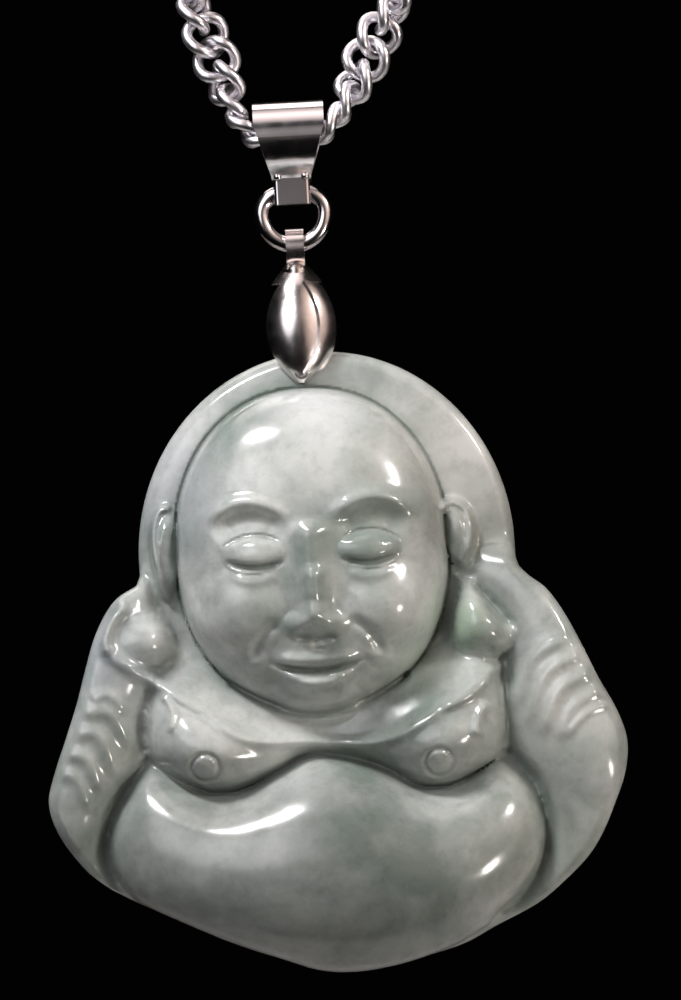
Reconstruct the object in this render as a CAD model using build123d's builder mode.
"""Carved jade buddha pendant on a silver chain, hanging from the nape.

The frame has +Z up and the front facing -Y. The origin is the nape, at the middle of the clasp.
Lengths are in millimetres, and everything hangs below z = 0.
"""
import os
from math import acos, cos, dist, hypot, pi, radians, sin, sqrt, tan

from build123d import *

os.makedirs("parts", exist_ok=True)

# Chain
chain_diameter = 2.0
run_share = 0.45           # share of the shorter run that an arc takes up
# Few chosen points of the route, from the nape's left, through the bail, to the nape's right:
# distance right of the middle, and height above the run through the bail
chain_route = [
    (-3.6, 176.5), (-22.0, 176.5), (-51.5, 151.2), (-58.0, 112.8), (-40.2, 77.4), (-21.4, 43.0),
    (-10.0, 19.4), (-4.9, 6.8), (-2.5, 0.0), (1.9, 0.0), (5.9, 6.0), (12.8, 17.6), (24.8, 40.2),
    (42.2, 74.6), (58.6, 108.8), (51.8, 148.3), (22.0, 176.5), (3.6, 176.5),
]
bail_drop = chain_route[0][1]   # the run through the bail lies this far below the nape

# Clasp
clasp_clearance = 0.15     # between the chain's end and the eye that holds it
clasp_diameter = 2.6
clasp_length = 4.0
eye_wire = 0.7
eye_width = 1.9

# Chain bail: a folded strap that rides on the chain, a collar and a pear-shaped ring
strap_thickness = 0.4
strap_bore = 3.7           # front to back inside the loop
strap_pivot_height = 0.35  # its swing axis above the middle of the chain's run
strap_top_width = 4.3
strap_foot_width = 2.4
strap_height = 4.6         # from the top of the strap down to the top of the collar
strap_corner = 0.25
collar_width = 2.2
collar_depth = 1.5
collar_height = 1.7
collar_bead = 0.26
pear_width = 4.8
pear_wire = 0.95
pear_height = 3.4          # from the bottom of the collar's fold down to the bottom of the ring
pear_shoulder = 0.65       # half the flat between the two shoulder arcs

# Pinch bail: a ring over the pear's lower bar, and a leaf on each face of the rim
ring_gap = 0.12            # between the lower bar and the inside of the ring's crown
ring_bore = 1.64
ring_wall = 0.4
ring_width = 1.1
leaf_length = 7.4
leaf_shell_width = 4.9     # width of the whole almond before its slot is cut
leaf_shell_depth = 4.7
leaf_wall = 0.45
leaf_drop = 1.05           # from the middle of the bar down to the leaf's crown
slot_start = 1.3           # from the leaf's crown down to the top of the slot
petal_rise = 0.22
prong_radius = 0.42
prong_gap = 0.1
prong_foot = 0.63          # from the middle of the prongs down to the leaf's tip

# Jade figure
jade_width = 35.2
jade_height = 37.8
belly_depth = 6.8          # from the middle of the rim to the front of the belly
back_depth = 1.9           # from the middle of the rim to the fullest point of the back
rim_thickness = 2.4
rim_bevel = 0.7            # how much thinner each face of the rim is at its edge
bevel_width = 0.6
side_slope = 2.2           # depth gained for each millimetre in from the bevel
rim_clearance = 0.15       # each side, between the rim and the slot of the pinch bail
hole_radius = 0.55
hole_margin = 1.25         # from the top of the rim down to the middle of the hole
crease_sharpness = 8
section_points = 41

# Heights that follow from the sizes
run_z = -bail_drop
strap_axis_z = run_z + strap_pivot_height
strap_top_z = strap_axis_z + strap_bore / 2 + strap_thickness
collar_top_z = strap_top_z - strap_height
collar_foot_z = collar_top_z - collar_height
pear_radius = (pear_width - pear_wire) / 2
bar_z = collar_foot_z - pear_height + pear_wire
ring_z = bar_z + pear_wire / 2 + ring_gap - ring_bore / 2
leaf_top_z = bar_z - leaf_drop
leaf_tip_z = leaf_top_z - leaf_length
prong_z = leaf_tip_z + prong_foot
slot_half = rim_thickness / 2 + rim_clearance
jade_top_z = prong_z + hole_margin


def tube(points, diameter):
    """A round tube along straight runs joined by tangent arcs."""
    runs = [dist(a, b) for a, b in zip(points, points[1:])]
    radii = []
    for before, after, near, here, far in zip(runs, runs[1:], points, points[1:], points[2:]):
        to_near = Vector(near[0] - here[0], near[1] - here[1])
        to_far = Vector(far[0] - here[0], far[1] - here[1])
        turn = pi - acos(to_near.dot(to_far) / (before * after))
        radii.append(run_share * min(before, after) / tan(turn / 2))
    print("bend radii", [round(radius, 1) for radius in radii])
    with BuildPart() as body:
        with BuildLine(Plane.XZ) as path:
            FilletPolyline(*points, radius=radii)
        route = path.wire()
        with BuildSketch(Plane(origin=route @ 0, z_dir=route % 0)):
            Circle(diameter / 2)
        sweep(path=route)
    length = route.length
    share = body.part.volume / (pi * diameter ** 2 / 4 * length)
    print("length", round(length, 1), "volume against section x length", round(share, 4))
    return body.part


def almond(grow):
    """The pinch bail's almond form: ellipses down its length, larger by grow on every side."""
    half_width = leaf_shell_width / 2 + grow
    half_depth = leaf_shell_depth / 2 + grow
    length = leaf_length + 2 * grow
    # share of the length from the crown, of the half width and of the half depth
    sections = [
        (0.00, 0.20, 0.30), (0.10, 0.46, 0.58), (0.28, 0.82, 0.88), (0.54, 1.00, 1.00),
        (0.74, 0.88, 0.97), (0.90, 0.54, 0.86), (1.00, 0.20, 0.74),
    ]
    with BuildPart() as body:
        for down, wide, deep in sections:
            with BuildSketch(Plane.XY.offset(leaf_top_z + grow - down * length)):
                Ellipse(half_width * wide, half_depth * deep)
        loft()
    return body.part


# The chain lies in the XZ plane, and its tube stands for the twisted links
chain_points = [(x, height - bail_drop) for x, height in chain_route]
chain_tube = tube(chain_points, chain_diameter)
with BuildPart() as chain:
    add(chain_tube)
chain.part.label = "chain"
export_step(chain.part, "parts/chain.step")

# The clasp is a small barrel with an eye at each end
eye_reach = chain_route[-1][0] - clasp_clearance
with BuildPart() as clasp:
    with BuildSketch(Plane.YZ.offset(-clasp_length / 2)):
        Circle(clasp_diameter / 2)
    extrude(amount=clasp_length)
    fillet(clasp.edges(), radius=clasp_diameter / 4)
    for side in (-1, 1):
        eye_middle = side * (eye_reach - eye_width / 2)
        with BuildSketch(Plane.XZ):
            with Locations((eye_middle, 0)):
                Circle(eye_width / 2)
                Circle(eye_width / 2 - eye_wire, mode=Mode.SUBTRACT)
        extrude(amount=eye_wire / 2, both=True)
clasp.part.label = "clasp"
export_step(clasp.part, "parts/clasp.step")

# Chain bail
strap_outer = strap_bore / 2 + strap_thickness
strap_foot_z = strap_axis_z - strap_bore / 2 - 1.5 * strap_thickness
foot_half = 1.2 * strap_thickness
with BuildPart() as chain_bail:
    with BuildSketch(Plane.YZ):
        with BuildLine():
            loop_top = ThreePointArc(
                (-strap_outer, strap_axis_z), (0, strap_top_z), (strap_outer, strap_axis_z)
            )
            Spline(
                loop_top @ 1, (foot_half, strap_foot_z - strap_thickness),
                tangents=((0, -1), (-0.5, -1)),
            )
            Line((foot_half, strap_foot_z - strap_thickness), (-foot_half, strap_foot_z - strap_thickness))
            Spline(
                (-foot_half, strap_foot_z - strap_thickness), loop_top @ 0,
                tangents=((-0.5, 1), (0, 1)),
            )
        make_face()
        with BuildLine():
            bore_top = ThreePointArc(
                (-strap_bore / 2, strap_axis_z), (0, strap_axis_z + strap_bore / 2),
                (strap_bore / 2, strap_axis_z),
            )
            Spline(bore_top @ 1, (0, strap_foot_z + strap_thickness / 2), tangents=((0, -1), (-1, -0.4)))
            Spline((0, strap_foot_z + strap_thickness / 2), bore_top @ 0, tangents=((-1, 0.4), (0, 1)))
        make_face(mode=Mode.SUBTRACT)
    extrude(amount=strap_top_width / 2, both=True)
    with BuildSketch(Plane.XZ) as strap_front:
        with BuildLine():
            Polyline(
                (-strap_foot_width / 2, strap_foot_z - 2 * strap_thickness),
                (-strap_foot_width / 2, collar_top_z),
                (-strap_top_width / 2, strap_top_z - strap_height / 3),
                (-strap_top_width / 2, strap_top_z + strap_thickness),
                (strap_top_width / 2, strap_top_z + strap_thickness),
                (strap_top_width / 2, strap_top_z - strap_height / 3),
                (strap_foot_width / 2, collar_top_z),
                (strap_foot_width / 2, strap_foot_z - 2 * strap_thickness),
                close=True,
            )
        make_face()
    extrude(amount=strap_bore, both=True, mode=Mode.INTERSECT)
    with BuildSketch(Plane.XY.offset(collar_foot_z)):
        RectangleRounded(collar_width, collar_depth, strap_corner)
    extrude(amount=collar_height + strap_thickness)
    for side in (-1, 1):
        for face in (-1, 1):
            with Locations((side * (collar_width / 2 - collar_bead), face * collar_depth / 2, collar_top_z)):
                Sphere(collar_bead)
    # The pear-shaped ring: a half circle below and a shoulder arc on each side
    shoulder_radius = pear_radius - pear_shoulder
    pear_middle_z = bar_z + pear_radius
    with BuildLine(Plane.XZ) as pear_path:
        lower = CenterArc((0, pear_middle_z), pear_radius, 180, 180)
        CenterArc((pear_shoulder, pear_middle_z), shoulder_radius, 0, 90)
        Line(
            (pear_shoulder, pear_middle_z + shoulder_radius),
            (-pear_shoulder, pear_middle_z + shoulder_radius),
        )
        CenterArc((-pear_shoulder, pear_middle_z), shoulder_radius, 90, 90)
    pear_wire_path = pear_path.wire()
    with BuildSketch(Plane(origin=pear_wire_path @ 0, z_dir=pear_wire_path % 0)):
        Circle(pear_wire / 2)
    sweep(path=pear_wire_path)
chain_bail.part.label = "chain_bail"
export_step(chain_bail.part, "parts/chain_bail.step")

# Pinch bail
shell = almond(0)
raised_shell = almond(petal_rise)
hollow = almond(-leaf_wall)
leaf_half = leaf_shell_width / 2
petal_top = (0.16 * leaf_half, leaf_top_z - 0.16 * leaf_length)
petal_tip = (0.06 * leaf_half, leaf_top_z - 0.93 * leaf_length)
with BuildPart() as petal:
    with BuildSketch(Plane.XZ):
        with BuildLine():
            ThreePointArc(petal_top, (1.2 * leaf_half, leaf_top_z - 0.55 * leaf_length), petal_tip)
            ThreePointArc(petal_tip, (0.52 * leaf_half, leaf_top_z - 0.58 * leaf_length), petal_top)
        make_face()
    extrude(amount=leaf_shell_depth)
    add(raised_shell, mode=Mode.INTERSECT)
with BuildPart() as pinch_bail:
    add(shell)
    add(petal.part)
    add(hollow, mode=Mode.SUBTRACT)
    slot_height = leaf_length - slot_start
    with Locations((0, 0, leaf_top_z - slot_start - slot_height)):
        Box(2 * leaf_shell_width, 2 * slot_half, 2 * slot_height, mode=Mode.SUBTRACT)
    with BuildSketch(Plane.XY.offset(leaf_top_z - slot_start)):
        Ellipse(0.38 * leaf_half, slot_half)
    extrude(amount=slot_start - leaf_wall)
    # The ring over the bar
    with BuildSketch(Plane.YZ):
        with Locations((0, ring_z)):
            Circle(ring_bore / 2 + ring_wall)
    extrude(amount=ring_width / 2, both=True)
    with BuildSketch(Plane.YZ):
        with Locations((0, ring_z)):
            Circle(ring_bore / 2)
    extrude(amount=ring_width, both=True, mode=Mode.SUBTRACT)
    # The prongs that enter the drilled hole
    for face in (-1, 1):
        with BuildSketch(Plane.XZ.offset(face * prong_gap / 2)):
            with Locations((0, prong_z)):
                Circle(prong_radius)
        extrude(amount=face * (leaf_shell_depth / 2 * 0.80 - prong_gap / 2))
pinch_bail.part.label = "pinch_bail"
export_step(pinch_bail.part, "parts/pinch_bail.step")


# Jade figure. Shares run right from the middle of the figure, as shares of its width, and down from
# the top of the rim, as shares of its height. Front depths are shares of the belly's depth.
halo_across = 0.027
halo_half_width = 0.326
halo_half_height = 0.3245
halo_foot = 94             # degrees round the halo from its top to the notches
halo_sections = 18
# down, left edge, right edge, below the notches
robe_edges = [
    (0.362, -0.304, 0.357), (0.378, -0.335, 0.374), (0.400, -0.356, 0.402), (0.440, -0.379, 0.430),
    (0.490, -0.397, 0.456), (0.545, -0.415, 0.482), (0.600, -0.437, 0.512), (0.650, -0.458, 0.527),
    (0.700, -0.473, 0.520), (0.745, -0.462, 0.501), (0.790, -0.434, 0.479), (0.830, -0.397, 0.451),
    (0.870, -0.338, 0.407), (0.905, -0.254, 0.359), (0.940, -0.170, 0.285), (0.970, -0.084, 0.214),
    (0.996, -0.010, 0.080),
]
# name: across, down, half width, half height, front depth, lean in degrees
forms = {
    "head": (0.002, 0.311, 0.233, 0.258, 0.86, 0),
    "nose": (0.003, 0.365, 0.044, 0.075, 0.95, 0),
    "left_ear": (-0.250, 0.320, 0.034, 0.080, 0.38, 0),
    "left_lobe": (-0.305, 0.428, 0.047, 0.052, 0.47, 0),
    "right_ear": (0.259, 0.304, 0.036, 0.070, 0.38, 0),
    "right_lobe": (0.300, 0.440, 0.038, 0.080, 0.47, -16),
    "collar": (0.010, 0.540, 0.290, 0.095, 0.50, 0),
    "left_chest": (-0.155, 0.588, 0.150, 0.115, 0.66, 8),
    "right_chest": (0.172, 0.590, 0.158, 0.122, 0.66, -8),
    "breast": (0.008, 0.590, 0.120, 0.078, 0.70, 0),
    "belly": (0.002, 0.815, 0.381, 0.180, 1.00, 0),
    "left_shoulder": (-0.330, 0.462, 0.082, 0.090, 0.48, 0),
    "left_sleeve": (-0.374, 0.602, 0.078, 0.165, 0.52, 14),
    "left_forearm": (-0.385, 0.755, 0.088, 0.095, 0.54, -30),
    "right_shoulder": (0.378, 0.472, 0.084, 0.090, 0.48, 0),
    "right_sleeve": (0.426, 0.618, 0.084, 0.170, 0.55, -12),
    "right_forearm": (0.440, 0.752, 0.086, 0.110, 0.56, 20),
    "left_fold_upper": (-0.375, 0.560, 0.062, 0.020, 0.58, -28),
    "left_fold_middle": (-0.395, 0.610, 0.064, 0.020, 0.59, -24),
    "left_fold_lower": (-0.412, 0.665, 0.064, 0.020, 0.58, -18),
    "right_fold_upper": (0.405, 0.535, 0.066, 0.020, 0.60, 34),
    "right_fold_middle": (0.425, 0.590, 0.070, 0.020, 0.62, 30),
    "right_fold_lower": (0.440, 0.650, 0.072, 0.020, 0.62, 24),
    "left_nipple": (-0.199, 0.657, 0.028, 0.026, 0.58, 0),
    "right_nipple": (0.201, 0.665, 0.028, 0.026, 0.59, 0),
}
dome_across = 0.020
dome_down = 0.600
dome_half_width = 0.46
dome_half_height = 0.40


def place(across, down):
    """A point of the front view, from its shares."""
    return (across * jade_width, jade_top_z - down * jade_height)


def outline_rows():
    """Down, left edge and right edge of each section, from the halo's arc to the foot."""
    rows = []
    for step in range(halo_sections):
        angle = radians(halo_foot * (step + 1) / halo_sections)
        half_width = halo_half_width * sin(angle)
        down = halo_half_height * (1 - cos(angle))
        rows.append((down, halo_across - half_width, halo_across + half_width))
    for upper, lower in zip(robe_edges, robe_edges[1:]):
        rows.append(upper)
        rows.append(tuple((above + below) / 2 for above, below in zip(upper, lower)))
    rows.append(robe_edges[-1])
    return rows


sections = outline_rows()
left_edge = [place(left, down) for down, left, right in sections]
right_edge = [place(right, down) for down, left, right in reversed(sections)]
rim_line = left_edge + right_edge


def rim_distance(x, z):
    """How far a point of the front view lies from the outline."""
    nearest = jade_width
    for (start_x, start_z), (end_x, end_z) in zip(rim_line, rim_line[1:] + rim_line[:1]):
        step_x = end_x - start_x
        step_z = end_z - start_z
        share = ((x - start_x) * step_x + (z - start_z) * step_z) / (step_x ** 2 + step_z ** 2)
        share = max(0, min(1, share))
        nearest = min(nearest, hypot(x - start_x - share * step_x, z - start_z - share * step_z))
    return nearest


def relief_depth(x, z):
    """Front depth of the carving: the deepest of its rounded forms, with softened creases."""
    total = (rim_thickness / 2) ** crease_sharpness
    for across, down, half_width, half_height, front, lean in forms.values():
        middle_x, middle_z = place(across, down)
        turn = radians(lean)
        along = (x - middle_x) * cos(turn) - (z - middle_z) * sin(turn)
        up = (x - middle_x) * sin(turn) + (z - middle_z) * cos(turn)
        reach = (along / (half_width * jade_width)) ** 2 + (up / (half_height * jade_height)) ** 2
        if reach < 1:
            total += (front * belly_depth * sqrt(1 - reach)) ** crease_sharpness
    return total ** (1 / crease_sharpness)


def jade_section(down, left, right):
    """One horizontal section: the carved front, the bevelled edges and the gently domed back."""
    height = place(0, down)[1]
    front = []
    back = []
    for step in range(section_points):
        spread = sin(pi / 2 * (2 * step / (section_points - 1) - 1))
        x = ((left + right) / 2 + (right - left) / 2 * spread) * jade_width
        inside = rim_distance(x, height)
        bevelled = rim_thickness / 2 - rim_bevel * (1 - min(1, inside / bevel_width))
        side_limit = bevelled + max(0, inside - bevel_width) * side_slope
        out_across = (x / jade_width - dome_across) / dome_half_width
        out_down = (down - dome_down) / dome_half_height
        dome = max(0, 1 - out_across ** 2 - out_down ** 2)
        front.append((x, -min(relief_depth(x, height), side_limit)))
        back.append((x, bevelled + (back_depth - rim_thickness / 2) * dome))
    with BuildSketch(Plane.XY.offset(height)) as section:
        with BuildLine():
            Spline(*front)
            Line(front[-1], back[-1])
            Spline(*reversed(back))
            Line(back[0], front[0])
        make_face()
    return section.sketch


section_sketches = [jade_section(*row) for row in sections]
with BuildPart() as jade_figure:
    loft(section_sketches, ruled=True)
    with BuildSketch(Plane.XZ.offset(-rim_thickness)):
        with Locations((0, prong_z)):
            Circle(hole_radius)
    extrude(amount=2 * rim_thickness, mode=Mode.SUBTRACT)
jade_figure.part.label = "jade_figure"
export_step(jade_figure.part, "parts/jade_figure.step")

for piece in (chain, clasp, chain_bail, pinch_bail, jade_figure):
    box = piece.part.bounding_box()
    print(
        piece.part.label, "solids", len(piece.solids()), "valid", piece.part.is_valid,
        "volume", round(piece.part.volume, 2),
        "from", [round(value, 2) for value in box.min], "to", [round(value, 2) for value in box.max],
    )
